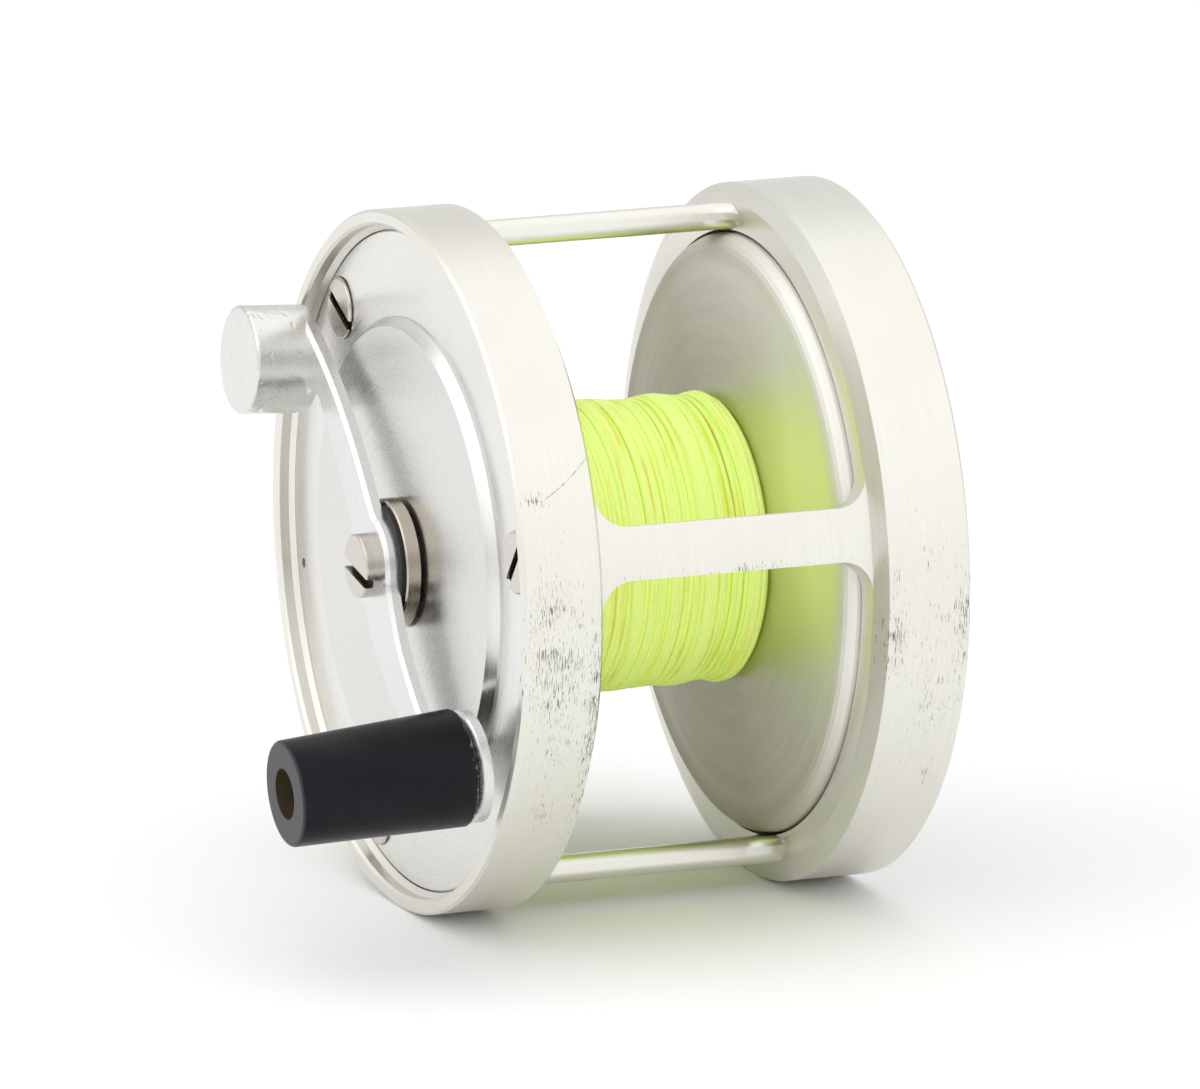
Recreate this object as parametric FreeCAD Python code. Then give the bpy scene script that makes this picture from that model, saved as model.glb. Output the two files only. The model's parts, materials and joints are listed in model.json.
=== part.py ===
"""Salmon fly reel: one-piece turned cage, spool with backing line, S-shaped crank, drag and click.

Working coordinates, in millimetres: Y is the spindle axis, pointing away from the crank side,
with y = 0 on the front rim. X is to the right and Z is up, seen from the crank side. The reel
stands rolled about its spindle, on its two rims and the lower tip of its foot. Every piece is
moved at the end so that the origin lies under the middle of the reel, on the surface it stands on.
"""
import FreeCAD
import Part
import os
from math import cos, hypot, pi, radians, sin, tan

V = FreeCAD.Vector
AXIS = V(0, 1, 0)

# Cage: two rims joined by four bars, turned from one bar of aluminium
RIM_R = 45.0                 # outside radius of both rims
RIM_LIP_R = 43.0             # inside radius of the lip round each side plate
SEAT_R = 42.3                # bore that holds a side plate
WALL_OUT = 42.5              # cage wall between the rims
WALL_IN = 39.0
SHOULDER_R = 33.0            # inside radius of the shoulder behind each plate
FRONT_RIM = (0.0, 10.1)      # front rim, from its face to its side bevel
BACK_RIM = (49.1, 60.25)
BEVEL = 1.25                 # axial length of the bevel beside each rim
PLATE_DROP = 2.2             # how far each plate lies below its rim
PLATE_T = 3.2
SHOULDER_T = 3.0
ROLL = 11.5                  # roll of the cage about the spindle, degrees
BAR_T = WALL_OUT - WALL_IN
WIDE_BAR = 6.8
NARROW_BAR = 4.6
NARROW_ROUND = 1.3           # rounding along the narrow bars
FOOT_BAR = 22.0
WINDOW_FILLET = 4.0

# Side plates
PLATE_R = 42.2
BOSS_FOOT_R = 31.3           # raised disc, at its foot and on top
BOSS_TOP_R = 30.1
BOSS_H = 1.5
HUB_R = 12.0                 # thickened hub behind each plate
SCREW_CIRCLE = 37.6
SCREW_ANGLES = (11.5, 131.5, 251.5)
SCREW_SLOTS = (52.6, -25.0, 70.0)
SCREW_HEAD_R = 4.0
SCREW_R = 2.0

# Spool
SPINDLE_R = 4.0
BUSH_R = 7.0
RUN = 0.05                   # radial running clearance
PRESS = 0.02                 # radial clearance of a pressed or screwed joint
FLANGE_R = 38.6
ARBOR_R = 12.0
LINE_R = 18.4
FLANGE_FACE = 44.2           # line side of the back flange, at the line
FLANGE_BACK = 50.3           # back of the back flange
CAGE_MID = 29.65             # middle of the windows, the spool's plane of symmetry

# Crank
ARM_FRONT = -3.8             # front of the arm at the hub
ARM_T = 1.7
ARM_CHAMFER = 0.5
ARM_FILLET = 4.0             # corners between hub, arm and eyes
ARM_HUB_R = 6.6
LEAN = 3.4                   # each half of the arm bends back by this angle, degrees
LEAN_DIR = -88.0             # direction round the spindle in which the grip's half leans
BEND = (7.7, 9.7)            # start and end of the bend, along that direction
GRIP_AT = (36.2, -33.0)      # grip's axis on the arm, as radius and angle round the spindle
WEIGHT_AT = (36.8, 145.6)
GRIP_EYE_R = 7.15
WEIGHT_EYE_R = 6.9
# Outer and inner edge of each half of the S: three points, along and across its line from hub to eye
GRIP_HALF = (((1.0, -5.4), (16.8, -10.5), (38.0, -6.8)),
             ((4.5, 3.7), (17.0, -3.15), (32.5, -5.7)))
WEIGHT_HALF = (((1.0, -5.6), (20.0, -8.35), (39.0, -6.5)),
               ((5.0, 0.8), (17.0, -2.35), (32.0, -3.9)))
WEIGHT_R = 7.0
WEIGHT_L = 6.95
GRIP_L = 23.6
GRIP_BASE_R = 7.5
GRIP_TIP_R = 6.75
GRIP_GAP = 0.3

# Foot
FOOT_SEAT = 43.5             # flat on the foot bar, from the spindle axis
FOOT_FACE = 48.0             # face that lies against the rod
FOOT_W = 15.0
FOOT_ANGLE = 180.0 + ROLL
FOOT_HALF = (RIM_R - FOOT_FACE * sin(radians(ROLL))) / cos(radians(ROLL))

# Drag and click, behind the spool
DRUM_IN = 26.0
DRUM_OUT = 29.0
SHOE_R = 25.6
SHOE_T = 4.1
MECH = (50.9, 53.9)          # axial space of the shoes
PIN_END = 57.5               # end of the pins pressed into the back plate
CAM_R = 23.5                 # distance of the cam shaft from the spindle
CAM_LOBE = 2.1               # half length of the cam
CAM_SHAFT_R = 2.0
SHOE_PIN_R = 1.25
CLICK = (50.65, 51.65)       # axial space of the click wheel and its pawl
GEAR_R = 9.0
GEAR_TEETH = 30
PAWL_PIVOT = 15.0
PAWL_PIN_R = 1.0

# Where the origin lies, in working coordinates
ORIGIN = V(-4.62, 18.968, -RIM_R)


def ring(r_out, r_in, y0, y1, x=0.0, z=0.0):
    """A tube round an axis parallel to the spindle; r_in of 0 gives a disc."""
    base = V(x, y0, z)
    body = Part.makeCylinder(r_out, y1 - y0, base, AXIS)
    if r_in > 0:
        body = body.cut(Part.makeCylinder(r_in, y1 - y0 + 2, base - AXIS, AXIS))
    return body


def turned(points):
    """Turn a closed outline of (radius, y) points about the spindle axis."""
    wire = Part.makePolygon([V(r, y, 0) for r, y in points + points[:1]])
    return Part.Face(wire).revolve(V(0, 0, 0), AXIS, 360)


def polar(r, angle, y=0.0):
    """The point at a radius and an angle round the spindle."""
    return V(r * cos(radians(angle)), y, r * sin(radians(angle)))


def rolled(shape, angle):
    """Turn a shape built on +X round to an angle above +X."""
    out = shape.copy()
    out.rotate(V(0, 0, 0), AXIS, -angle)
    return out


def box(x0, x1, y0, y1, z0, z1):
    """A box between two corners."""
    return Part.makeBox(x1 - x0, y1 - y0, z1 - z0, V(x0, y0, z0))


def mirrored(y):
    """The same distance on the other side of the spool's middle plane."""
    return 2 * CAGE_MID - y


def slotted_head(r, y0, y1, x, z, slot_angle, width, depth, offset=0.0, edge=0.35):
    """A cheese head with a slot sawn in its front, y0 being the front."""
    head = ring(r, 0, y0, y1, x, z)
    front = [e for e in head.Edges if abs(e.BoundBox.YMax - y0) < 1e-4]
    head = head.makeFillet(edge, front)
    saw = box(-r - 1, r + 1, y0 - 1, y0 + depth, offset - width / 2, offset + width / 2)
    saw.rotate(V(0, 0, 0), AXIS, -slot_angle)
    saw.translate(V(x, 0, z))
    return head.cut(saw)


# ------------------------------------------------------------------ cage

def bar_plate(width, y0, y1):
    """A bar's face on +X, flaring with a fillet where it meets each rim."""
    h = width / 2
    f = WINDOW_FILLET
    a = y0 - 0.5
    b = y1 + 0.5
    q = f * (1 - cos(pi / 4))

    def point(y, z):
        return V(WALL_IN - 1, y, z)

    edges = []
    for s in (1, -1):
        flare0 = Part.Arc(point(y0, s * (h + f)), point(y0 + q, s * (h + q)), point(y0 + f, s * h))
        flare1 = Part.Arc(point(y1 - f, s * h), point(y1 - q, s * (h + q)), point(y1, s * (h + f)))
        edges.append(Part.makeLine(point(a, s * (h + f)), point(y0, s * (h + f))))
        edges.append(flare0.toShape())
        edges.append(Part.makeLine(point(y0 + f, s * h), point(y1 - f, s * h)))
        edges.append(flare1.toShape())
        edges.append(Part.makeLine(point(y1, s * (h + f)), point(b, s * (h + f))))
    for y in (a, b):
        edges.append(Part.makeLine(point(y, -h - f), point(y, h + f)))
    wire = Part.Wire(Part.__sortEdges__(edges))
    return Part.Face(wire).extrude(V(BAR_T + 3, 0, 0))


def cage_bar(width, angle):
    """One bar of the cage wall, at an angle round the spindle."""
    y0 = FRONT_RIM[1] + BEVEL
    y1 = BACK_RIM[0] - BEVEL
    wall = ring(WALL_OUT, WALL_IN, y0 - 0.4, y1 + 0.4)
    bar = bar_plate(width, y0, y1).common(wall)
    if width < WIDE_BAR:
        long_edges = [e for e in bar.Edges if e.BoundBox.YLength > 20]
        bar = bar.makeFillet(NARROW_ROUND, long_edges)
    return rolled(bar, angle)


def foot_seat():
    """The thick bar under the foot, flat on top."""
    y0 = FRONT_RIM[1] - 1
    y1 = BACK_RIM[0] + 1
    half = FOOT_BAR / 2
    block = box(WALL_IN - 0.6, FOOT_SEAT, y0, y1, -half, half)
    block = block.cut(ring(WALL_IN, 0, y0 - 1, y1 + 1))
    for z in (-7.5, 7.5):
        block = block.cut(Part.makeCylinder(1.55, 9, V(WALL_IN - 2, CAGE_MID, z), V(1, 0, 0)))
    return rolled(block, FOOT_ANGLE)


def make_frame():
    """Both rims, their lips and shoulders, and the four bars."""
    f0, f1 = FRONT_RIM
    b0, b1 = BACK_RIM
    seat = f0 + PLATE_DROP + PLATE_T
    brk = 0.35
    front = turned([
        (RIM_LIP_R + brk, f0), (RIM_R - brk, f0), (RIM_R, f0 + brk), (RIM_R, f1),
        (WALL_OUT, f1 + BEVEL), (WALL_IN, f1 + BEVEL), (WALL_IN, seat + SHOULDER_T),
        (SHOULDER_R, seat + SHOULDER_T), (SHOULDER_R, seat), (SEAT_R, seat),
        (SEAT_R, PLATE_DROP), (RIM_LIP_R, PLATE_DROP - 0.6),
        (RIM_LIP_R, f0 + brk)])
    seat = b1 - PLATE_DROP - PLATE_T
    back = turned([
        (RIM_LIP_R + brk, b1), (RIM_R - brk, b1), (RIM_R, b1 - brk), (RIM_R, b0),
        (WALL_OUT, b0 - BEVEL), (WALL_IN, b0 - BEVEL), (WALL_IN, seat - SHOULDER_T),
        (SHOULDER_R, seat - SHOULDER_T), (SHOULDER_R, seat), (SEAT_R, seat),
        (SEAT_R, b1 - PLATE_DROP), (RIM_LIP_R, b1 - PLATE_DROP + 0.6),
        (RIM_LIP_R, b1 - brk)])
    frame = front.fuse(back)
    for width, angle in ((WIDE_BAR, ROLL), (NARROW_BAR, ROLL + 90), (NARROW_BAR, ROLL - 90)):
        frame = frame.fuse(cage_bar(width, angle))
    frame = frame.fuse(foot_seat()).removeSplitter()
    for angle in SCREW_ANGLES:
        p = polar(SCREW_CIRCLE, angle)
        frame = frame.cut(ring(SCREW_R + PRESS, 0, 4, 8.0, p.x, p.z))
        frame = frame.cut(ring(SCREW_R + PRESS, 0, b1 - 8.0, b1 - 4, p.x, p.z))
    return frame


# ------------------------------------------------------------------ side plates

def side_plate():
    """Face plate with its raised disc in front and its hub behind."""
    face = PLATE_DROP
    plate = turned([
        (BUSH_R + PRESS, face - BOSS_H), (BOSS_TOP_R, face - BOSS_H), (BOSS_FOOT_R, face - 0.25),
        (BOSS_FOOT_R, face), (PLATE_R - 0.2, face), (PLATE_R, face + 0.2), (PLATE_R, face + PLATE_T),
        (HUB_R, face + PLATE_T), (HUB_R, 8.2), (BUSH_R + PRESS, 8.2)])
    for angle in SCREW_ANGLES:
        p = polar(SCREW_CIRCLE, angle)
        plate = plate.cut(ring(SCREW_HEAD_R + 0.06, 0, face - 1, face + 0.9, p.x, p.z))
        plate = plate.cut(ring(SCREW_R + 0.05, 0, face, face + 5, p.x, p.z))
    return plate


def make_face_plate():
    """The crank-side plate, with a small dowel hole near its edge."""
    p = polar(40.0, -168.0)
    return side_plate().cut(ring(0.62, 0, 1, 6, p.x, p.z))


def make_index_pin():
    """Dowel that keeps the face plate from turning in its seat."""
    p = polar(40.0, -168.0)
    return ring(0.6, 0, PLATE_DROP + 0.25, PLATE_DROP + PLATE_T - 0.05, p.x, p.z)


def make_back_plate():
    """The far plate: the same turning reversed, drilled for the shoe pins, cam shaft and pawl pin."""
    plate = side_plate()
    plate = plate.mirror(V(0, BACK_RIM[1] / 2, 0), AXIS)
    holes = [(0, CAM_R, CAM_SHAFT_R + RUN), (PAWL_PIVOT, 0, PAWL_PIN_R + PRESS)]
    holes += [(p.x, p.z, SHOE_PIN_R + PRESS) for p in shoe_pivots()]
    for x, z, r in holes:
        plate = plate.cut(ring(r, 0, 50, 62, x, z))
    return plate


def plate_screw(angle, slot_angle):
    """One slotted screw of the face plate."""
    p = polar(SCREW_CIRCLE, angle)
    y0 = PLATE_DROP - 0.55
    y1 = PLATE_DROP + 0.9
    head = slotted_head(SCREW_HEAD_R, y0, y1, p.x, p.z, slot_angle, 1.3, 0.95)
    return head.fuse(ring(SCREW_R, 0, y1, 7.9, p.x, p.z))


def make_front_screws():
    """The three screws of the face plate."""
    return Part.makeCompound([plate_screw(a, s) for a, s in zip(SCREW_ANGLES, SCREW_SLOTS)])


def make_back_screws():
    """The three screws of the back plate."""
    screws = [plate_screw(a, s + 40) for a, s in zip(SCREW_ANGLES, SCREW_SLOTS)]
    return Part.makeCompound(screws).mirror(V(0, BACK_RIM[1] / 2, 0), AXIS)


def make_front_bush():
    """Plain bearing pressed into the face plate."""
    return ring(BUSH_R, SPINDLE_R + RUN, PLATE_DROP - BOSS_H + 0.1, 8.2)


def make_back_bush():
    """Plain bearing pressed into the back plate."""
    return ring(BUSH_R, SPINDLE_R + RUN, BACK_RIM[1] - 8.2, BACK_RIM[1] - PLATE_DROP + BOSS_H - 0.1)


def make_bearing_cap():
    """Turned cap over the end of the spindle, on the back plate."""
    y0 = BACK_RIM[1] - PLATE_DROP + BOSS_H
    cap = ring(9.0, 0, y0, y0 + 1.9)
    rim = [e for e in cap.Edges if abs(e.BoundBox.YMin - (y0 + 1.9)) < 1e-4]
    cap = cap.makeFillet(0.6, rim)
    return cap.cut(box(-5.0, 5.0, y0 + 1.0, y0 + 3, -0.7, 0.7))


# ------------------------------------------------------------------ spool

def flange_outline():
    """Outline of the back flange: a shallow cone with a rounded, polished lip."""
    crest = (36.0, 45.7)
    points = [(SPINDLE_R + PRESS, FLANGE_FACE), (LINE_R, FLANGE_FACE), (34.0, 45.6), crest]
    steps = 6
    for i in range(1, steps + 1):
        a = pi / 2 * i / steps
        points.append((crest[0] + (FLANGE_R - crest[0]) * sin(a), crest[1] + 2.3 * (1 - cos(a))))
    points += [(FLANGE_R, FLANGE_BACK - 0.3), (FLANGE_R - 0.3, FLANGE_BACK)]
    return points + [(SPINDLE_R + PRESS, FLANGE_BACK)]


def make_back_flange():
    """The flange on the drag side."""
    return turned(flange_outline())


def make_front_flange():
    """The flange on the crank side, the other's mirror image."""
    return turned([(r, mirrored(y)) for r, y in flange_outline()])


def make_arbor():
    """Tube between the flanges that carries the line."""
    return ring(ARBOR_R, SPINDLE_R + PRESS, mirrored(FLANGE_FACE) + 0.01, FLANGE_FACE - 0.01)


def make_spindle():
    """Spindle with a tenon for the crank and a tapped end for the crank screw."""
    arm_back = ARM_FRONT + ARM_T
    shaft = ring(SPINDLE_R, 0, arm_back, 58.0)
    shaft = shaft.fuse(ring(2.9, 0, ARM_FRONT + 0.1, arm_back))
    return shaft.cut(ring(2.02, 0, ARM_FRONT - 1, 6.0))


def make_line():
    """The wound backing line, as one solid."""
    y0 = mirrored(FLANGE_FACE) + 0.03
    y1 = FLANGE_FACE - 0.03
    body = ring(LINE_R, ARBOR_R + PRESS, y0, y1)
    outer = []
    for e in body.Edges:
        if abs(e.BoundBox.XMax - LINE_R) < 1e-3 and e.BoundBox.YLength < 1e-3:
            outer.append(e)
    return body.makeFillet(0.8, outer)


# ------------------------------------------------------------------ crank

def lean_axis(side):
    """Unit vector of the grip's axis (side 1) or the counterweight's (side -1), pointing off the arm."""
    out = polar(side * sin(radians(LEAN)), LEAN_DIR)
    return V(out.x, -cos(radians(LEAN)), out.z)


def arm_face_y(s):
    """Height of the arm's front at a distance along the direction it leans in."""
    a, b = BEND
    slope = tan(radians(LEAN))
    if s < a:
        return ARM_FRONT
    if s < b:
        return ARM_FRONT + slope * (s - a) ** 2 / (2 * (b - a))
    return ARM_FRONT + slope * (s - (a + b) / 2)


def arm_end(side):
    """Middle of the arm's front at the grip (side 1) or at the counterweight (side -1)."""
    r, angle = GRIP_AT if side > 0 else WEIGHT_AT
    return polar(r, angle, arm_face_y(abs(r * cos(radians(angle - LEAN_DIR)))))


def arm_half(side):
    """One half of the S: a band between two arcs, from the hub into its end eye."""
    angle = GRIP_AT[1] if side > 0 else WEIGHT_AT[1]
    half = GRIP_HALF if side > 0 else WEIGHT_HALF
    outer, inner = [[V(along, -8, off) for along, off in edge] for edge in half]
    edges = [Part.Arc(*outer).toShape(), Part.Arc(*inner).toShape()]
    edges += [Part.makeLine(outer[0], inner[0]), Part.makeLine(outer[2], inner[2])]
    band = Part.Face(Part.Wire(Part.__sortEdges__(edges)))
    return rolled(band.extrude(V(0, 12, 0)), angle)


def arm_blank():
    """The bent plate that the arm is cut from: flat at the hub, leaning back on both sides."""
    far = 50.0
    a, b = BEND

    def side_edges(sign, back):
        def at(s):
            return V(sign * s, arm_face_y(s) + back, -far)

        bend = Part.Arc(at(a), at((a + b) / 2), at(b)).toShape()
        return [Part.makeLine(at(0), at(a)), bend, Part.makeLine(at(b), at(far))]

    edges = [e for sign in (1, -1) for back in (0, ARM_T) for e in side_edges(sign, back)]
    for sign in (1, -1):
        y = arm_face_y(far)
        edges.append(Part.makeLine(V(sign * far, y, -far), V(sign * far, y + ARM_T, -far)))
    blank = Part.Face(Part.Wire(Part.__sortEdges__(edges))).extrude(V(0, 0, 2 * far))
    return rolled(blank.removeSplitter(), LEAN_DIR)


def front_edges(arm):
    """The edges round the arm's front, without the straight bend lines across it."""
    def on_front(p):
        s = abs(p.x * cos(radians(LEAN_DIR)) + p.z * sin(radians(LEAN_DIR)))
        return abs(p.y - arm_face_y(s)) < 0.02

    found = []
    for e in arm.Edges:
        middle = e.valueAt((e.FirstParameter + e.LastParameter) / 2)
        if not isinstance(e.Curve, Part.Line) and on_front(middle) and on_front(e.Vertexes[0].Point):
            found.append(e)
    return found


def make_arm():
    """S-shaped crank arm with an eye at the hub and at each end, chamfered round its front."""
    outline = ring(ARM_HUB_R, 0, -8, 4).fuse([arm_half(-1), arm_half(1)])
    for side, r in ((1, GRIP_EYE_R), (-1, WEIGHT_EYE_R)):
        outline = outline.fuse(ring(r, 0, -8, 4, arm_end(side).x, arm_end(side).z))
    outline = outline.removeSplitter()
    corners = []
    for e in outline.Edges:
        b = e.BoundBox
        upright = b.YLength > 11 and b.XLength < 1e-3
        if upright and hypot(b.Center.x, b.Center.z) < WEIGHT_AT[0]:
            corners.append(e)
    arm = outline.makeFillet(ARM_FILLET, corners).common(arm_blank())
    arm = arm.makeChamfer(ARM_CHAMFER, front_edges(arm))
    arm = arm.cut(ring(2.93, 0, -9, 5))
    for side, r in ((1, 2.42), (-1, 2.02)):
        arm = arm.cut(Part.makeCylinder(r, 12, arm_end(side) + lean_axis(side) * 6, lean_axis(side) * -1))
    return arm


def make_crank_screw():
    """Slotted screw that holds the crank on the spindle; its slot is a little off centre."""
    head = slotted_head(4.1, ARM_FRONT - 1.75, ARM_FRONT, 0, 0, -11.0, 1.3, 1.1, offset=-0.9, edge=0.3)
    return head.fuse(ring(2.0, 0, ARM_FRONT, 5.5))


def make_collar():
    """Steel collar between crank and plate, recessed in front for the washer."""
    collar = turned([
        (SPINDLE_R + PRESS, -1.1), (7.62, -1.1), (7.62, -1.65), (8.1, -1.65), (8.3, -1.45), (8.3, 0.2),
        (SPINDLE_R + PRESS, 0.2)])
    return collar


def make_washer():
    """Dark fibre washer between collar and crank."""
    return ring(7.6, SPINDLE_R + PRESS, ARM_FRONT + ARM_T, -1.1)


def make_weight(arm):
    """Counterweight, a short cylinder with rounded edges standing on the arm."""
    start = arm_end(-1) - lean_axis(-1) * ARM_CHAMFER
    weight = Part.makeCylinder(WEIGHT_R, WEIGHT_L + ARM_CHAMFER, start, lean_axis(-1))
    top = max(weight.Edges, key=lambda e: (e.BoundBox.Center - start).dot(lean_axis(-1)))
    weight = weight.makeFillet(0.45, [top])
    weight = weight.cut(arm)
    bore = Part.makeCylinder(2.02, 4.2, start - lean_axis(-1), lean_axis(-1))
    return weight.cut(bore)


def make_weight_pin():
    """Pin that fixes the counterweight on the arm."""
    return Part.makeCylinder(2.0, ARM_T + 2.2, arm_end(-1) - lean_axis(-1) * (ARM_T - 0.1), lean_axis(-1))


def make_grip():
    """Tapered handle with a through bore and a recess in its outer end."""
    axis = lean_axis(1)
    start = arm_end(1) + axis * GRIP_GAP
    length = GRIP_L - GRIP_GAP
    grip = Part.makeCone(GRIP_BASE_R, GRIP_TIP_R, length, start, axis)
    rims = [e for e in grip.Edges if e.Closed]
    grip = grip.makeFillet(0.5, rims)
    grip = grip.cut(Part.makeCylinder(2.4 + RUN, length + 2, start - axis, axis))
    return grip.cut(Part.makeCylinder(3.25, 5.0, start + axis * (length - 4.0), axis))


def make_grip_pin():
    """Pin the grip turns on, with a slotted head inside the recess."""
    axis = lean_axis(1)
    top = GRIP_L - 4.0 + 0.35
    pin = Part.makeCylinder(2.4, top + ARM_T - 0.1, arm_end(1) - axis * (ARM_T - 0.1), axis)
    pin = pin.fuse(Part.makeCylinder(2.9, 1.5, arm_end(1) + axis * top, axis))
    across = axis.cross(V(0, 0, 1))
    across.normalize()
    slot = Part.makeBox(0.8, 0.7, 8.0)
    slot.translate(V(-0.4, 0.0, -4.0))
    turn = FreeCAD.Rotation(across, axis, axis.cross(across), "ZXY")
    seat = FreeCAD.Placement(arm_end(1) + axis * (top + 0.9), turn)
    slot.Placement = seat.multiply(slot.Placement)
    return pin.cut(slot)


# ------------------------------------------------------------------ foot

def make_foot():
    """Reel foot: flat towards the rod, thick in the middle and ramped to thin tips."""
    tip = 1.4
    pad = 12.5
    side = [(-FOOT_HALF, FOOT_FACE), (FOOT_HALF, FOOT_FACE), (FOOT_HALF, FOOT_FACE - tip), (pad, FOOT_SEAT),
            (-pad, FOOT_SEAT), (-FOOT_HALF, FOOT_FACE - tip)]
    wire = Part.makePolygon([V(x, CAGE_MID - FOOT_W, z) for z, x in side + side[:1]])
    slab = Part.Face(wire).extrude(V(0, 2 * FOOT_W, 0))
    half = FOOT_W / 2
    end = 5.2
    plan = [(-half, -pad), (-half, pad), (-end, FOOT_HALF), (end, FOOT_HALF), (half, pad), (half, -pad),
            (end, -FOOT_HALF), (-end, -FOOT_HALF)]
    wire = Part.makePolygon([V(FOOT_SEAT - 1, CAGE_MID + y, z) for y, z in plan + plan[:1]])
    foot = slab.common(Part.Face(wire).extrude(V(8, 0, 0)))
    for z in (-7.5, 7.5):
        foot = foot.cut(Part.makeCylinder(1.6, 12, V(FOOT_SEAT - 2, CAGE_MID, z), V(1, 0, 0)))
        foot = foot.cut(Part.makeCone(1.6, 3.35, 1.75, V(FOOT_FACE - 1.75, CAGE_MID, z), V(1, 0, 0)))
    return rolled(foot, FOOT_ANGLE)


def make_foot_screws():
    """Two countersunk screws through the foot."""
    screws = []
    for z in (-7.5, 7.5):
        head = Part.makeCone(1.5, 3.2, 1.7, V(FOOT_FACE - 1.75, CAGE_MID, z), V(1, 0, 0))
        shank = Part.makeCylinder(1.5, FOOT_FACE - 1.75 - 40.0, V(40.0, CAGE_MID, z), V(1, 0, 0))
        screw = head.fuse(shank)
        screw = screw.cut(box(FOOT_FACE - 0.8, FOOT_FACE + 1, CAGE_MID - 4, CAGE_MID + 4, z - 0.4, z + 0.4))
        screws.append(rolled(screw, FOOT_ANGLE))
    return Part.makeCompound(screws)


# ------------------------------------------------------------------ drag and click

def shoe_pivots():
    """Pivots of the right and the left brake shoe."""
    return [polar(SHOE_R - SHOE_T / 2, -78.0), polar(SHOE_R - SHOE_T / 2, -102.0)]


def make_drum():
    """Brake drum on the back of the spool."""
    return ring(DRUM_OUT, DRUM_IN, FLANGE_BACK + 0.01, MECH[1] + 0.2)


def make_shoe(side):
    """Curved brake shoe inside the drum; side is 1 for the right shoe."""
    y0, y1 = MECH
    shoe = ring(SHOE_R, SHOE_R - SHOE_T, y0, y1)
    reach = SHOE_R + 1
    gap = 1.9
    if side > 0:
        keep = box(gap, reach, y0 - 1, y1 + 1, -reach, reach)
    else:
        keep = box(-reach, -gap, y0 - 1, y1 + 1, -reach, reach)
    shoe = shoe.common(keep)
    p = shoe_pivots()[0 if side > 0 else 1]
    return shoe.cut(ring(SHOE_PIN_R + RUN, 0, y0 - 1, y1 + 1, p.x, p.z))


def make_shoe_pins():
    """Pivot pins of the shoes, pressed into the back plate."""
    return Part.makeCompound([ring(SHOE_PIN_R, 0, MECH[0], PIN_END, p.x, p.z) for p in shoe_pivots()])


def make_cam():
    """Cam between the shoe ends, on the shaft that comes out through the back plate."""
    y0, y1 = MECH
    cam = ring(CAM_LOBE, 0, y0, y1, 0, CAM_R)
    cam = cam.common(box(-1.5, 1.5, y0 - 1, y1 + 1, CAM_R - 4, CAM_R + 4))
    cam = cam.fuse(ring(CAM_SHAFT_R, 0, y1, 61.9, 0, CAM_R))
    return cam.cut(ring(1.0 + PRESS, 0, 58, 63, 0, CAM_R))


def make_drag_lever():
    """Drag lever on the back plate, with a round finger button."""
    y0 = BACK_RIM[1] - PLATE_DROP + BOSS_H + 0.4
    y1 = y0 + 2.0
    length = 14.0
    lever = ring(4.6, 0, y0, y1, 0, CAM_R).fuse(ring(2.6, 0, y0, y1, length, CAM_R))
    arm = [(0, 4.0), (length, 2.2), (length, -2.2), (0, -4.0)]
    wire = Part.makePolygon([V(x, y0, CAM_R + z) for x, z in arm + arm[:1]])
    lever = lever.fuse(Part.Face(wire).extrude(V(0, y1 - y0, 0)))
    button = ring(2.9, 0, y1, y1 + 3.0, length, CAM_R)
    top = [e for e in button.Edges if abs(e.BoundBox.YMin - (y1 + 3.0)) < 1e-4]
    lever = lever.fuse(button.makeFillet(0.8, top)).removeSplitter()
    return lever.cut(ring(CAM_SHAFT_R + PRESS, 0, 55, y1 + 1, 0, CAM_R))


def make_lever_screw():
    """Small slotted screw that holds the lever on its shaft."""
    y1 = BACK_RIM[1] - PLATE_DROP + BOSS_H + 2.4
    head = slotted_head(2.7, -(y1 + 1.2), -y1, 0, 0, 20.0, 0.7, 0.6, edge=0.25)
    head = head.mirror(V(0, 0, 0), AXIS)
    head.translate(V(0, 0, CAM_R))
    return head.fuse(ring(1.0, 0, 58.3, y1, 0, CAM_R))


def make_click_gear():
    """Toothed click wheel on the spindle."""
    points = []
    for i in range(GEAR_TEETH):
        a = 360.0 / GEAR_TEETH * i
        points.append(polar(GEAR_R, a + 180.0 / GEAR_TEETH, CLICK[0]))
        points.append(polar(GEAR_R - 0.9, a + 360.0 / GEAR_TEETH, CLICK[0]))
    wheel = Part.Face(Part.makePolygon(points + points[:1])).extrude(V(0, CLICK[1] - CLICK[0], 0))
    hub = ring(5.6, 0, FLANGE_BACK + 0.02, CLICK[0])
    return wheel.fuse(hub).cut(ring(SPINDLE_R + PRESS, 0, 49, 55))


def make_pawl():
    """Click pawl, pointing at the wheel and standing just clear of its tooth tips."""
    tip = GEAR_R + 0.35
    shape = [(tip, 0.0), (PAWL_PIVOT - 1.0, 1.9), (PAWL_PIVOT + 2.0, 1.9), (PAWL_PIVOT + 2.0, -1.9),
             (PAWL_PIVOT - 1.0, -1.9)]
    wire = Part.makePolygon([V(x, CLICK[0], z) for x, z in shape + shape[:1]])
    pawl = Part.Face(wire).extrude(V(0, CLICK[1] - CLICK[0], 0))
    return pawl.cut(ring(PAWL_PIN_R + RUN, 0, 50, 53, PAWL_PIVOT, 0))


def make_pawl_pin():
    """Pivot pin of the pawl, pressed into the back plate."""
    return ring(PAWL_PIN_R, 0, CLICK[0], PIN_END, PAWL_PIVOT, 0)


def make_pawl_spring():
    """Leaf spring behind the pawl, standing on the back plate."""
    x = PAWL_PIVOT + 2.5
    return box(x, x + 0.35, 51.0, BACK_RIM[1] - PLATE_DROP - PLATE_T, -4.5, 4.5)


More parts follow.
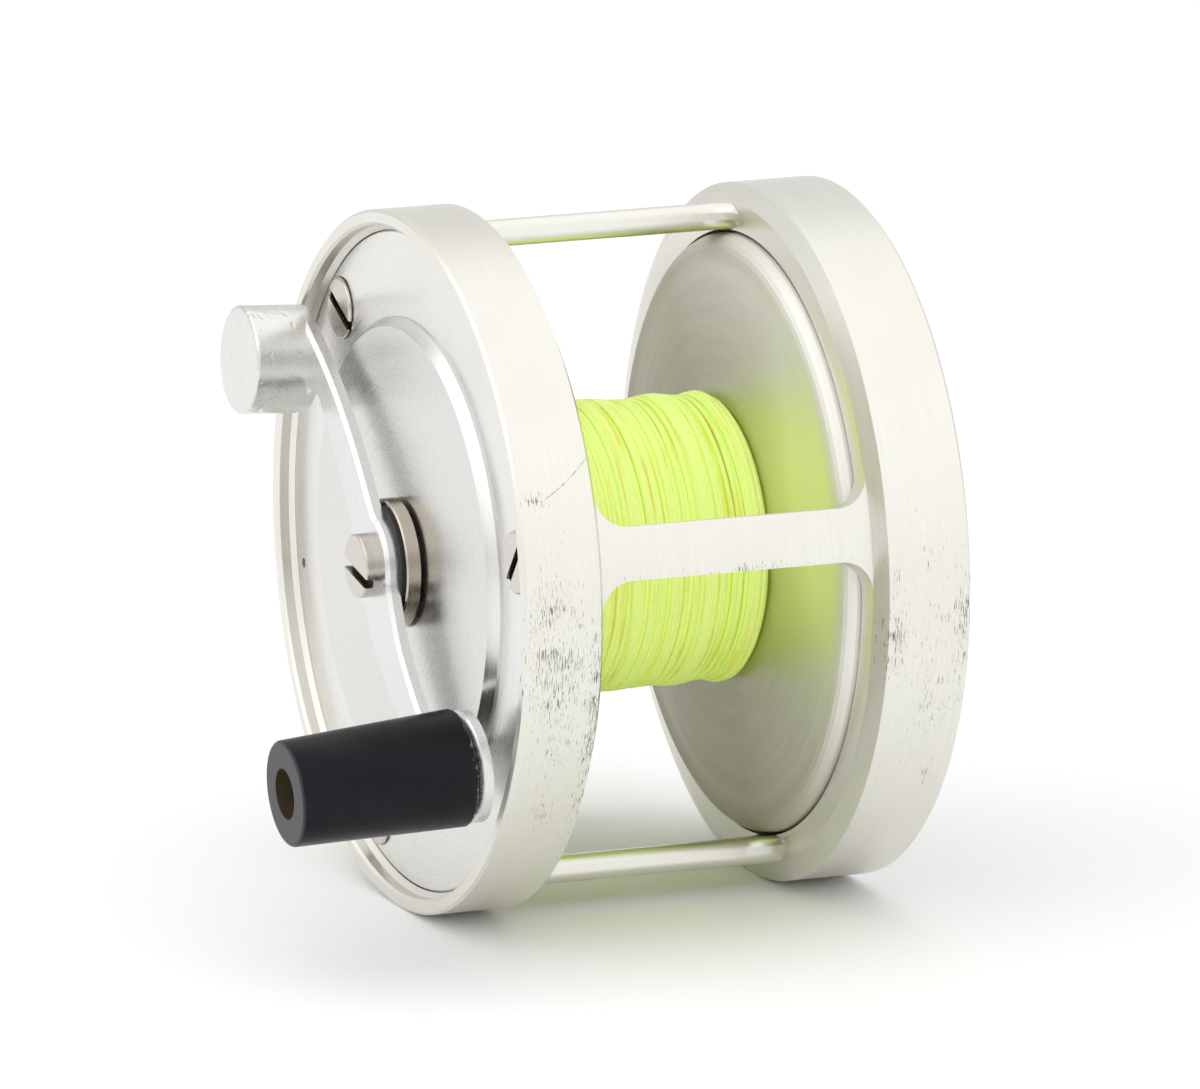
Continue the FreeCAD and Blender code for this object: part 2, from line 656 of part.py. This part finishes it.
def build():
    """All nodes of the reel, by name."""
    arm = make_arm()
    return {
        "frame": make_frame(),
        "face_plate": make_face_plate(),
        "face_plate_screws": make_front_screws(),
        "index_pin": make_index_pin(),
        "front_bush": make_front_bush(),
        "back_plate": make_back_plate(),
        "back_plate_screws": make_back_screws(),
        "back_bush": make_back_bush(),
        "bearing_cap": make_bearing_cap(),
        "reel_foot": make_foot(),
        "foot_screws": make_foot_screws(),
        "spindle": make_spindle(),
        "spool_arbor": make_arbor(),
        "spool_front_flange": make_front_flange(),
        "spool_back_flange": make_back_flange(),
        "backing_line": make_line(),
        "crank_collar": make_collar(),
        "crank_washer": make_washer(),
        "crank_arm": arm,
        "crank_screw": make_crank_screw(),
        "counterweight": make_weight(arm),
        "counterweight_pin": make_weight_pin(),
        "grip_pin": make_grip_pin(),
        "grip": make_grip(),
        "brake_drum": make_drum(),
        "brake_shoe_right": make_shoe(1),
        "brake_shoe_left": make_shoe(-1),
        "shoe_pins": make_shoe_pins(),
        "drag_cam": make_cam(),
        "drag_lever": make_drag_lever(),
        "lever_screw": make_lever_screw(),
        "click_gear": make_click_gear(),
        "click_pawl": make_pawl(),
        "pawl_pin": make_pawl_pin(),
        "pawl_spring": make_pawl_spring(),
    }


def main():
    """Write every node as a STEP file."""
    os.makedirs("parts", exist_ok=True)
    for name, shape in build().items():
        shape = shape.copy()
        shape.translate(ORIGIN * -1)
        shape.exportStep("parts/" + name + ".step")
        b = shape.BoundBox
        print("%-20s valid %s solids %d  x %.2f %.2f  y %.2f %.2f  z %.2f %.2f" % (
            name, shape.isValid(), len(shape.Solids), b.XMin, b.XMax, b.YMin, b.YMax, b.ZMin, b.ZMax))


main()
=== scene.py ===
"""Looks for the fly reel: turned aluminium, steel screws, black grip and wound backing line.

Everything is in metres in the CAD frame: +Y along the spindle away from the crank, +Z up.
"""
import json
import math

import bpy
import numpy as np
from mathutils import Matrix, Vector


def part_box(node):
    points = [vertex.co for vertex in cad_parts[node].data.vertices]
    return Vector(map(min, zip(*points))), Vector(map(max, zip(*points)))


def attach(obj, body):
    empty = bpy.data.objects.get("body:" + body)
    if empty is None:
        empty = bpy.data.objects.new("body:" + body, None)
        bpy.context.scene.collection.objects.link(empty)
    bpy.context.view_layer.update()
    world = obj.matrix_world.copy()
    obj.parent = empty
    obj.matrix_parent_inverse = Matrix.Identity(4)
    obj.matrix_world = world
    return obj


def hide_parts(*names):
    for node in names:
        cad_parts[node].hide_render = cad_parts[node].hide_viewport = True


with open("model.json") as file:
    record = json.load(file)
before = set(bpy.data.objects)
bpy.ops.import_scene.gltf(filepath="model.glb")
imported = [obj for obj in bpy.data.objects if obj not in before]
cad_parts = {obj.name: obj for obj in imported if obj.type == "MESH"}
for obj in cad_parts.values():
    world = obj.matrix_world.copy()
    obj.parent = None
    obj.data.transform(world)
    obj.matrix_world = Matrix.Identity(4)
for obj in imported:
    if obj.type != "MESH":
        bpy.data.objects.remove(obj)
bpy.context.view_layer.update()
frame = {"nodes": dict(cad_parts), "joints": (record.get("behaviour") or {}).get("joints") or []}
nodes = frame["nodes"]

MM = 0.001
SEED = 11


# ------------------------------------------------------------------ places read from the frame

def middle(node):
    """Centre of a CAD node's box."""
    lo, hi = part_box(node)
    return (Vector(lo) + Vector(hi)) / 2


SPINDLE = middle("spool_back_flange")        # x and z of the spindle axis
FRAME_LO, FRAME_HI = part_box("frame")
FRAME_DEEP = FRAME_HI[1] - FRAME_LO[1]       # from rim face to rim face
RIM_R = (FRAME_HI[2] - FRAME_LO[2]) / 2
FRONT_EDGE = FRAME_LO[1] + 10.1 * MM         # inner edges of the two rims
BACK_EDGE = FRAME_HI[1] - 11.15 * MM
DISC_R = 30.1 * MM                           # top of the side plates' raised disc
LINE_LO, LINE_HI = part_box("backing_line")
LINE_OUT = (LINE_HI[2] - LINE_LO[2]) / 2     # outside radius of the winding
CORE_IN = 12.1 * MM                          # the core's inside, just clear of the arbor

grip_joint = next(joint for joint in frame["joints"] if joint["name"] == "grip_spin")
GRIP_AXIS = Vector(grip_joint["axis"])       # away from the arm
GRIP_FOOT = Vector(grip_joint["pos_m"]) - 12.0 * MM * GRIP_AXIS
GRIP_LENGTH = 23.6 * MM
GRIP_BORE_R = 3.35 * MM


# ------------------------------------------------------------------ node helpers

class Tree:
    """A material's node tree, with short calls for the nodes used here."""

    def __init__(self, name):
        self.mat = bpy.data.materials.new(name)
        self.mat.use_nodes = True
        self.nt = self.mat.node_tree
        self.nt.nodes.clear()
        out = self.nt.nodes.new("ShaderNodeOutputMaterial")
        self.bsdf = self.nt.nodes.new("ShaderNodeBsdfPrincipled")
        self.link(self.bsdf.outputs[0], out.inputs[0])

    def node(self, kind, **settings):
        """A new node with its settings."""
        n = self.nt.nodes.new(kind)
        for key, value in settings.items():
            setattr(n, key, value)
        return n

    def link(self, source, target):
        """Join an output to an input."""
        self.nt.links.new(source, target)

    def feed(self, target, value):
        """Set a socket to a number or colour, or link it to an output."""
        if isinstance(value, bpy.types.NodeSocket):
            self.link(value, target)
        else:
            target.default_value = value

    def surface(self, **values):
        """Feed the shader's own sockets, named with underscores for spaces."""
        for name, value in values.items():
            self.feed(self.bsdf.inputs[name.replace("_", " ")], value)

    def math(self, operation, *values):
        """One step of arithmetic on numbers or outputs."""
        n = self.node("ShaderNodeMath", operation=operation)
        for socket, value in zip(n.inputs, values):
            self.feed(socket, value)
        return n.outputs[0]

    def total(self, first, *others):
        """The values added up."""
        for value in others:
            first = self.math("ADD", first, value)
        return first

    def product(self, first, *others):
        """The values multiplied."""
        for value in others:
            first = self.math("MULTIPLY", first, value)
        return first

    def minus(self, a, b):
        """The first value less the second."""
        return self.math("SUBTRACT", a, b)

    def place(self):
        """The three coordinates of the point in the CAD frame."""
        coords = self.node("ShaderNodeTexCoord")
        split = self.node("ShaderNodeSeparateXYZ")
        self.link(coords.outputs["Object"], split.inputs[0])
        return tuple(split.outputs)

    def turning(self):
        """Radius, height and angle round the spindle."""
        x, y, z = self.place()
        dx = self.minus(x, SPINDLE[0])
        dz = self.minus(z, SPINDLE[2])
        radius = self.math("SQRT", self.total(self.product(dx, dx), self.product(dz, dz)))
        return radius, y, self.math("ARCTAN2", dz, dx)

    def vector(self, x, y, z):
        """Three values as one vector."""
        n = self.node("ShaderNodeCombineXYZ")
        for socket, value in zip(n.inputs, (x, y, z)):
            self.feed(socket, value)
        return n.outputs[0]

    def here(self):
        """The point in the CAD frame as a vector."""
        return self.vector(*self.place())

    def swept(self, turned, *scales):
        """Radius, height and angle scaled, for grain that runs round the spindle."""
        return self.vector(*[self.product(value, scale) for value, scale in zip(turned, scales)])

    def noise(self, vector, scale, detail=2.0, rough=0.5):
        """Noise from 0 to 1 round a half."""
        n = self.node("ShaderNodeTexNoise")
        self.feed(n.inputs["Vector"], vector)
        n.inputs["Scale"].default_value = scale
        n.inputs["Detail"].default_value = detail
        n.inputs["Roughness"].default_value = rough
        return n.outputs["Fac"]

    def ramp(self, value, lo, hi, out_lo=0.0, out_hi=1.0):
        """A clamped slope from out_lo at lo to out_hi at hi."""
        n = self.node("ShaderNodeMapRange")
        self.feed(n.inputs[0], value)
        for socket, number in zip(n.inputs[1:5], (lo, hi, out_lo, out_hi)):
            socket.default_value = number
        return n.outputs[0]

    def near(self, value, centre, half):
        """1 at a value, falling evenly to 0 at half to either side."""
        off = self.math("ABSOLUTE", self.minus(value, centre))
        return self.ramp(off, half, 0.0)

    def mix(self, fac, a, b):
        """Colour a where fac is 0, colour b where it is 1."""
        n = self.node("ShaderNodeMix", data_type="RGBA")
        self.feed(n.inputs["Factor"], fac)
        self.feed(n.inputs[6], a)
        self.feed(n.inputs[7], b)
        return n.outputs[2]

    def bump(self, height, strength, distance):
        """Relief on the surface."""
        n = self.node("ShaderNodeBump")
        n.inputs["Strength"].default_value = strength
        n.inputs["Distance"].default_value = distance
        self.link(height, n.inputs["Height"])
        self.surface(Normal=n.outputs[0])


def rgba(colour, share=1.0):
    """A colour, or a share of it, as the sockets take it."""
    return (*[channel * share for channel in colour], 1.0)


# ------------------------------------------------------------------ metals

# Where the rims are worn: angle and its half width, height and its half width, strength
WORN = (
    (-0.08, 0.50, FRAME_LO[1] + 4.2 * MM, 6.5 * MM, 0.95),            # side of the front rim
    (-0.34, 0.62, FRONT_EDGE - 0.4 * MM, 2.4 * MM, 1.00),             # its inner edge
    (-0.60, 0.30, FRAME_LO[1] + 5.0 * MM, 5.0 * MM, 0.40),            # lower on its side
    (0.37, 0.035, FRAME_LO[1] + 2.2 * MM, 2.6 * MM, 0.90),            # nicks near the scratch
    (-0.09, 0.33, BACK_EDGE + 1.4 * MM, 3.0 * MM, 0.80),              # inner edge of the back rim
    (-0.10, 0.30, FRAME_HI[1] - 0.8 * MM, 2.6 * MM, 1.00),            # its outer edge
    (-0.12, 0.50, BACK_EDGE + 5.5 * MM, 6.5 * MM, 0.62),              # its side
    (-0.57, 0.09, FRAME_HI[1] - 3.0 * MM, 2.2 * MM, 0.95),            # a patch lower down
    (0.125, 0.03, (FRONT_EDGE + BACK_EDGE) / 2, 22.0 * MM, 0.62),     # lower edge of the wide bar
)
PIT_LEVEL = 0.74                     # noise lifted above this is a pit
PIT_COLOUR = (0.13, 0.12, 0.105)
# painted shade for the deeper parts of the screw slots
SLOT_SHADE = (0.10, 0.08, 0.06)
# colour of the flanges' painted highlight
PAINTED_HIGHLIGHT_COLOUR = (0.88, 0.87, 0.82)


def turned_metal(name, colour, rough, grain=0.5, tint=0.05, aniso=0.5, disc=1.0, wear=False, rings_and_highlight=False):
    """Lathe-turned metal: fine rings round the spindle and broad, faint stains.

    disc is the share of the colour on the plates' raised disc, wear adds the rims' marks, and the last
    flag the flanges' turning rings and a painted highlight, a brighter zone round one side.
    """
    t = Tree(name)
    turned = t.turning()
    fine = t.noise(t.swept(turned, 5200.0, 5200.0, 3.0), 1.0, 3.0, 0.6)
    broad = t.noise(t.here(), 60.0)
    base = t.mix(t.ramp(fine, 0.3, 0.7), rgba(colour, 1 - tint), rgba(colour))
    stain = [channel * share for channel, share in zip(colour, (0.91, 0.89, 0.85))]
    base = t.mix(t.ramp(broad, 0.35, 0.75, 0.0, 0.5), base, rgba(stain))
    roughness = t.ramp(fine, 0.25, 0.75, rough - 0.07, rough + 0.07)
    if disc < 1:
        inside = t.ramp(turned[0], DISC_R, DISC_R + 0.6 * MM, 0.85, 0.0)
        base = t.mix(inside, base, rgba(colour, disc))
    if wear:
        base, roughness = add_wear(t, base, roughness, turned)
    if rings_and_highlight:
        base, roughness = add_rings_and_highlight(t, base, roughness, turned, colour)
    t.surface(Base_Color=base, Roughness=roughness, Metallic=1.0, Anisotropic=aniso)
    t.bump(fine, grain, 0.02 * MM)
    tangent = t.node("ShaderNodeTangent", direction_type="RADIAL", axis="Y")
    t.surface(Tangent=tangent.outputs[0])
    return t.mat


def add_rings_and_highlight(t, base, roughness, turned, colour):
    """Darker turning rings, a painted highlight (a brighter zone round one side) and a duller rounded
    lip.
    """
    radius, _, angle = turned
    rings = t.noise(t.swept(turned, 900.0, 0.0, 0.8), 1.0, 3.0)
    base = t.mix(t.ramp(rings, 0.35, 0.7, 0.0, 0.35), base, rgba(colour, 0.72))
    outward = t.ramp(radius, 22.0 * MM, 34.0 * MM, 0.80, 1.6)
    # painted highlight: a brighter sector round one side that stands in for a reflection of the lights;
    # it turns with the spool
    painted_highlight = t.product(t.near(angle, 0.40, 1.8), outward)
    base = t.mix(t.math("MINIMUM", painted_highlight, 1.0), base, rgba(PAINTED_HIGHLIGHT_COLOUR))
    lip = t.ramp(radius, 34.5 * MM, 36.5 * MM, 0.0, 0.16)
    return base, t.total(roughness, lip)


def add_wear(t, base, roughness, turned):
    """Small dark pits and short streaks along the turning, gathered on the rims' worn places."""
    _, height, angle = turned
    pits = t.noise(t.swept(turned, 2400.0, 6500.0, 26.0), 1.0, 3.0, 0.70)
    gather = t.ramp(t.noise(t.here(), 160.0), 0.40, 0.66)
    zone = 0.0
    for at, wide, high, tall, strength in WORN:
        spread = t.product(t.near(angle, at, wide), t.near(height, high, tall), strength)
        zone = t.math("MAXIMUM", zone, spread)
    lift = t.product(t.math("SQRT", zone), 0.30)
    lift = t.product(lift, t.total(t.product(gather, 0.45), 0.55))
    over = t.product(t.minus(t.total(pits, lift), PIT_LEVEL), 18.0)
    mask = t.node("ShaderNodeClamp")
    t.link(t.math("MAXIMUM", over, scratch(t, height, angle)), mask.inputs[0])
    marks = mask.outputs[0]
    base = t.mix(t.product(marks, 0.85), base, rgba(PIT_COLOUR))
    return base, t.total(roughness, t.product(marks, 0.25))


def scratch(t, height, angle):
    """One fine scratch across the front rim, its angle a curve over the height from its middle."""
    along = t.minus(height, FRAME_LO[1] + 3.6 * MM)
    bow = t.product(along, along, 900.0)
    line = t.total(0.372, t.product(along, 11.0), bow)
    off = t.product(t.minus(angle, line), RIM_R)
    depth = t.near(off, 0.0, 0.13 * MM)
    inside = t.product(t.near(along, 3.4 * MM, 3.3 * MM), 6.0)
    broken = t.ramp(t.noise(t.here(), 1500.0, 1.0), 0.38, 0.55, 0.15, 0.9)
    return t.product(depth, t.math("MINIMUM", inside, 1.0), broken)


def plate_slots(t):
    """1 inside the slots of the plate screws, which are the parts of the heads that lie deeper."""
    height = t.place()[1]
    off = t.math("ABSOLUTE", t.minus(height, (FRAME_LO[1] + FRAME_HI[1]) / 2))
    return t.math("LESS_THAN", off, FRAME_DEEP / 2 - 2.05 * MM)


def crank_slot(t):
    """1 inside the slot of the crank screw, leaving out the outside of its head."""
    radius, height, _ = t.turning()
    deep = t.math("GREATER_THAN", height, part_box("crank_screw")[0][1] + 0.3 * MM)
    return t.product(deep, t.math("LESS_THAN", radius, 3.8 * MM))


def plain_metal(name, colour, rough, scale=900.0, grain=0.15, dents=0.0, slot=None):
    """Metal without a grain direction; dents gives it knocks and slot says where shade is painted into
    the screw slots.
    """
    t = Tree(name)
    fine = t.noise(t.here(), scale, 3.0, 0.6)
    base = t.mix(t.ramp(fine, 0.35, 0.7), rgba(colour, 0.92), rgba(colour))
    if slot:
        # painted shade in the screw slots, where the head lies deeper
        base = t.mix(slot(t), base, rgba(SLOT_SHADE))
    t.surface(Base_Color=base, Roughness=t.ramp(fine, 0.3, 0.7, rough - 0.05, rough + 0.06), Metallic=1.0)
    if dents > 0:
        knocks = t.ramp(t.noise(t.here(), 330.0, 2.0, 0.6), 0.58, 0.70, 0.0, -9.0 * dents)
        fine = t.total(fine, knocks)
    t.bump(fine, grain, 0.04 * MM)
    return t.mat


# ------------------------------------------------------------------ grip, line and other materials

def black_grip():
    """Black grip: satin side, greyer end face, brass-coloured bore, and chips along its foot."""
    t = Tree("grip_black")
    offsets = [t.minus(value, foot) for value, foot in zip(t.place(), GRIP_FOOT)]
    along = t.total(*[t.product(offset, part) for offset, part in zip(offsets, GRIP_AXIS)])
    from_foot = t.total(*[t.product(offset, offset) for offset in offsets])
    fine = t.noise(t.here(), 1400.0, 4.0, 0.65)

    cloudy = t.ramp(t.noise(t.here(), 120.0), 0.4, 0.7)
    base = t.mix(cloudy, rgba((0.005, 0.0055, 0.008)), rgba((0.010, 0.0105, 0.014)))
    end = t.ramp(along, GRIP_LENGTH - 0.35 * MM, GRIP_LENGTH - 0.1 * MM)
    base = t.mix(t.product(end, 0.9), base, rgba((0.048, 0.048, 0.056)))
    foot = t.ramp(along, 0.95 * MM, 0.35 * MM)
    chips = t.ramp(t.total(fine, t.product(foot, 0.18)), 0.62, 0.70)
    chips = t.product(chips, t.math("MINIMUM", t.product(foot, 3.0), 1.0))
    base = t.mix(chips, base, rgba((0.20, 0.19, 0.17)))
    off_axis = t.minus(from_foot, t.product(along, along))
    bore = t.math("LESS_THAN", off_axis, GRIP_BORE_R ** 2)
    base = t.mix(bore, base, rgba((0.055, 0.046, 0.028)))

    t.surface(Base_Color=base, Roughness=t.ramp(fine, 0.3, 0.7, 0.26, 0.38), Specular_IOR_Level=0.15)
    t.bump(fine, 0.12, 0.05 * MM)
    return t.mat


def plain(name, colour, rough):
    """Dull material for hidden and small parts."""
    t = Tree(name)
    fine = t.noise(t.here(), 500.0, 3.0)
    t.surface(Base_Color=t.mix(t.ramp(fine, 0.3, 0.7), rgba(colour, 0.8), rgba(colour)),
              Roughness=t.ramp(fine, 0.3, 0.7, rough - 0.08, rough + 0.08))
    t.bump(fine, 0.2, 0.05 * MM)
    return t.mat


def braided_line(name, light, dark, painted_glow):
    """Fluorescent braid with dirtier, more orange stretches that run along the turns, and a painted glow.
    """
    t = Tree(name)
    turned = t.turning()
    strands = t.noise(t.swept(turned, 3000.0, 3000.0, 60.0), 1.0, 3.0, 0.6)
    stretches = t.noise(t.swept(turned, 500.0, 1500.0, 1.6), 1.0)
    base = t.mix(t.ramp(strands, 0.3, 0.7), rgba(light, 0.88), rgba(light))
    base = t.mix(t.ramp(stretches, 0.54, 0.72, 0.0, 0.75), base, rgba(dark))
    # the emission is a painted glow standing in for the braid's fluorescence
    t.surface(Base_Color=base, Roughness=0.6, Specular_IOR_Level=0.3,
              Emission_Color=rgba((0.78, 0.95, 0.08)), Emission_Strength=painted_glow)
    t.bump(strands, 0.5, 0.08 * MM)
    return t.mat


def floor_paper():
    """Matt white background paper."""
    t = Tree("floor_paper")
    t.surface(Base_Color=rgba((0.97, 0.97, 0.97)), Roughness=0.8, Specular_IOR_Level=0.2)
    return t.mat


def paint(line_deep):
    """Give every CAD node its material."""
    satin = (0.79, 0.785, 0.765)
    steel = (0.66, 0.62, 0.57)
    materials = (
        (turned_metal("frame_aluminium", (0.83, 0.82, 0.76), 0.34, grain=0.7, tint=0.09, wear=True),
         ("frame", "reel_foot")),
        (turned_metal("plate_aluminium", satin, 0.26, grain=0.22, aniso=0.35, disc=0.85),
         ("face_plate", "back_plate")),
        (turned_metal("flange_aluminium", (0.53, 0.515, 0.425), 0.47, grain=0.8, aniso=0.2, rings_and_highlight=True),
         ("spool_arbor", "spool_front_flange", "spool_back_flange")),
        (plain_metal("crank_aluminium", (0.76, 0.76, 0.755), 0.25, grain=0.08),
         ("crank_arm", "drag_lever")),
        (plain_metal("weight_aluminium", satin, 0.28, scale=500.0, grain=0.35, dents=0.6),
         ("counterweight",)),
        (plain_metal("screw_steel", steel, 0.25),
         ("foot_screws", "lever_screw")),
        (plain_metal("plate_screw_steel", steel, 0.25, slot=plate_slots),
         ("face_plate_screws", "back_plate_screws")),
        (plain_metal("crank_screw_steel", (0.64, 0.60, 0.55), 0.25, slot=crank_slot),
         ("crank_screw",)),
        (turned_metal("collar_steel", (0.55, 0.50, 0.43), 0.25),
         ("bearing_cap", "crank_collar")),
        (plain_metal("shaft_steel", (0.6, 0.6, 0.6), 0.3),
         ("spindle", "counterweight_pin", "shoe_pins", "drag_cam", "click_gear", "click_pawl", "pawl_pin",
          "pawl_spring")),
        (plain_metal("bush_brass", (0.72, 0.55, 0.25), 0.35),
         ("front_bush", "back_bush", "brake_drum")),
        (plain_metal("pin_brass", (0.62, 0.52, 0.28), 0.4),
         ("grip_pin",)),
        (plain("pin_dark", (0.20, 0.15, 0.13), 0.6),
         ("index_pin",)),
        (plain("washer_black", (0.015, 0.015, 0.015), 0.6),
         ("crank_washer",)),
        (plain("shoe_fibre", (0.16, 0.10, 0.06), 0.8),
         ("brake_shoe_right", "brake_shoe_left")),
        (black_grip(), ("grip",)),
        (line_deep, ("backing_line",)),
    )
    for mat, names in materials:
        for name in names:
            mesh = nodes[name].data
            mesh.materials.clear()
            mesh.materials.append(mat)


# ------------------------------------------------------------------ wound line

PASSES = 3                         # visible passes of line over the core
PITCH = 0.66 * MM
STEPS = 60                         # points in one turn
SIDES = 8                          # points round the line
THICK = (0.25 * MM, 0.35 * MM)     # half thickness of the line, outwards and along the spindle
SINK = 0.34 * MM                   # how far each pass lies above the one below
CORE_DROP = 0.62 * MM              # how far the core lies below the top pass
CORE_ROWS = 60
CORE_COLUMNS = 96
STEP_SPREAD = (0.55, 1.45)         # narrowest and widest step from turn to turn, against the others
WIDE_STEP = 2.6                    # a step that leaves a gap
WIDE_STEPS = 4                     # how many of them a pass has
END_TURNS = 3                      # turns at each end that have none
# Bulges of the winding: place across the spool, width, height in millimetres
BULGES = ((0.73, 0.075, 0.42), (0.95, 0.04, 0.40), (0.40, 0.10, 0.30))


def wound_radius(angle, across):
    """Radius of the winding at an angle and a place across the spool, 0 at the crank side to 1."""
    bulges = sum(high * np.exp(-((across - at) / wide) ** 2) for at, wide, high in BULGES)
    wobble = 0.10 * np.sin(2 * angle + 9 * across) + 0.07 * np.sin(3 * angle - 14 * across + 1.0)
    back_end = 1.1 * np.clip((across - 0.955) / 0.045, 0, 1) ** 2
    front_end = 0.5 * np.clip((0.03 - across) / 0.03, 0, 1)
    return LINE_OUT + (bulges + wobble - (back_end + front_end) - 0.25) * MM


def winding_path(rng):
    """Angle, place along the spindle and radius of the line, pass after pass."""
    low = LINE_LO[1] + THICK[1]
    width = LINE_HI[1] - THICK[1] - low
    turns = int(width / PITCH)
    count = np.arange((turns + 1) * STEPS) / STEPS
    angles, places, radii = [], [], []
    start = 0.0
    for layer in range(PASSES):
        step = rng.uniform(*STEP_SPREAD, turns + 1)
        step[rng.integers(END_TURNS, turns - END_TURNS, WIDE_STEPS)] = WIDE_STEP
        knots = np.concatenate([[0.0], np.cumsum(step)])
        across = np.interp(count, np.arange(turns + 2), knots / knots[-1])
        sway = 0.007 * np.sin(count * 2.1 + layer) * np.sin(count * 0.37 + 2.0 * layer)
        across = np.clip(across + sway, 0.0, 1.0)
        if layer % 2:
            across = 1 - across
        angle = start + 2 * math.pi * count
        start = angle[-1]
        angles.append(angle)
        places.append(across)
        radii.append(wound_radius(angle, across) - (PASSES - 1 - layer) * SINK)
    return np.concatenate(angles), low + width * np.concatenate(places), np.concatenate(radii)


def mesh_piece(name, verts, faces, mat):
    """A smooth mesh that turns with the spool."""
    mesh = bpy.data.meshes.new(name)
    mesh.from_pydata(verts.tolist(), [], faces.tolist())
    mesh.polygons.foreach_set("use_smooth", [True] * len(faces))
    mesh.materials.append(mat)
    mesh.update()
    piece = bpy.data.objects.new(name, mesh)
    bpy.context.scene.collection.objects.link(piece)
    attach(piece, "spool")
    return piece


def grid_faces(rows, columns):
    """Quads between neighbouring rings of points, each ring closed on itself."""
    i, j = np.meshgrid(np.arange(rows - 1), np.arange(columns), indexing="ij")
    k = (j + 1) % columns
    quads = np.stack([i * columns + j, i * columns + k, (i + 1) * columns + k, (i + 1) * columns + j], -1)
    return quads.reshape(-1, 4)


def wind_line():
    """The line as one tube laid turn by turn over a core."""
    angle, y, radius = winding_path(np.random.default_rng(SEED))
    out = np.stack([np.cos(angle), np.zeros_like(angle), np.sin(angle)], -1)
    centre = out * radius[:, None] + np.array([SPINDLE[0], 0.0, SPINDLE[2]])
    centre[:, 1] = y
    around = np.arange(SIDES) * 2 * math.pi / SIDES
    offset = out[:, None, :] * (THICK[0] * np.cos(around))[None, :, None]
    offset = offset + np.array([0.0, 1.0, 0.0]) * (THICK[1] * np.sin(around))[None, :, None]
    verts = (centre[:, None, :] + offset).reshape(-1, 3)
    yellow = braided_line("line_yellow", (0.81, 0.98, 0.31), (0.74, 0.62, 0.10), 0.15)
    turns = mesh_piece("line_turns", verts, grid_faces(len(angle), SIDES), yellow)
    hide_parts("backing_line")


def line_core(line_deep):
    """The layers under the visible passes, darker than the outside: painted shade seen in the gaps
    between the turns.
    """
    around = np.arange(CORE_COLUMNS) * 2 * math.pi / CORE_COLUMNS
    angle, across = np.meshgrid(around, np.linspace(0.0, 1.0, CORE_ROWS))
    radius = wound_radius(angle, across) - CORE_DROP
    y = LINE_LO[1] + across * (LINE_HI[1] - LINE_LO[1])
    inner = np.full((1, CORE_COLUMNS), CORE_IN)
    radius = np.concatenate([inner, radius, inner])
    y = np.concatenate([y[:1], y, y[-1:]])
    angle = np.concatenate([angle[:1], angle, angle[-1:]])
    x = SPINDLE[0] + radius * np.cos(angle)
    z = SPINDLE[2] + radius * np.sin(angle)
    verts = np.stack([x, y, z], -1).reshape(-1, 3)
    mesh_piece("line_core", verts, grid_faces(len(radius), CORE_COLUMNS), line_deep)


# ------------------------------------------------------------------ stage

FLOOR_SIZE = 12.0
FLOOR_DROP = 0.02 * MM             # keeps the floor clear of what rests on it
CAMERA_PLACE = (1.741476, -0.685271, 0.460419)
CAMERA_AZIMUTH = math.radians(-21.78611)
CAMERA_ELEVATION = math.radians(12.520128)


def add_floor():
    """Wide white sheet under the reel."""
    bpy.ops.mesh.primitive_plane_add(size=FLOOR_SIZE, location=(0, 0, -FLOOR_DROP))
    floor = bpy.context.object
    floor.name = "floor"
    floor.data.materials.append(floor_paper())


def softbox(name, place, aim, size, radiance):
    """A rectangular area light of an even brightness, turned towards a point."""
    data = bpy.data.lights.new(name, "AREA")
    data.shape = "RECTANGLE"
    data.size, data.size_y = size
    data.energy = radiance * math.pi * size[0] * size[1]
    lamp = bpy.data.objects.new(name, data)
    lamp.location = place
    lamp.rotation_euler = (Vector(aim) - Vector(place)).to_track_quat("-Z", "Y").to_euler()
    bpy.context.scene.collection.objects.link(lamp)


def light():
    """White tent: an even world, a broad softbox above, smaller ones to the right and in front."""
    world = bpy.data.worlds.new("tent")
    world.use_nodes = True
    background = world.node_tree.nodes["Background"]
    background.inputs["Color"].default_value = rgba((1.0, 1.0, 1.0))
    background.inputs["Strength"].default_value = 0.80
    bpy.context.scene.world = world
    softbox("above", place=(0.1, -0.2, 1.1), aim=(0, 0, 0.04), size=(2.6, 2.6), radiance=0.46)
    softbox("right", place=(1.0, 0.5, 0.47), aim=(0, 0, 0.05), size=(0.9, 0.86), radiance=0.42)
    softbox("front", place=(-0.1, -1.2, 0.75), aim=(0, 0, 0.05), size=(1.7, 1.0), radiance=0.50)
    bpy.context.scene.view_settings.view_transform = "Standard"


def add_camera():
    """Long lens from the right of the crank side, a little above."""
    data = bpy.data.cameras.new("camera")
    data.sensor_width = 36.0
    data.lens = 450.0
    data.clip_start = 0.05
    data.clip_end = 50.0
    level = math.cos(CAMERA_ELEVATION)
    back = Vector((level * math.cos(CAMERA_AZIMUTH), level * math.sin(CAMERA_AZIMUTH),
                   math.sin(CAMERA_ELEVATION)))
    right = Vector((-math.sin(CAMERA_AZIMUTH), math.cos(CAMERA_AZIMUTH), 0.0))
    turn = Matrix((right, back.cross(right), back)).transposed()
    cam = bpy.data.objects.new("camera", data)
    cam.matrix_world = Matrix.Translation(CAMERA_PLACE) @ turn.to_4x4()
    bpy.context.scene.collection.objects.link(cam)
    bpy.context.scene.camera = cam


# ------------------------------------------------------------------ run

# the line under the visible passes is darker: painted shade in the gaps between the turns
shaded_deep_line = braided_line("line_deep", (0.74, 0.80, 0.12), (0.66, 0.48, 0.06), 0.08)
paint(shaded_deep_line)
wind_line()
line_core(shaded_deep_line)
add_floor()
light()
add_camera()
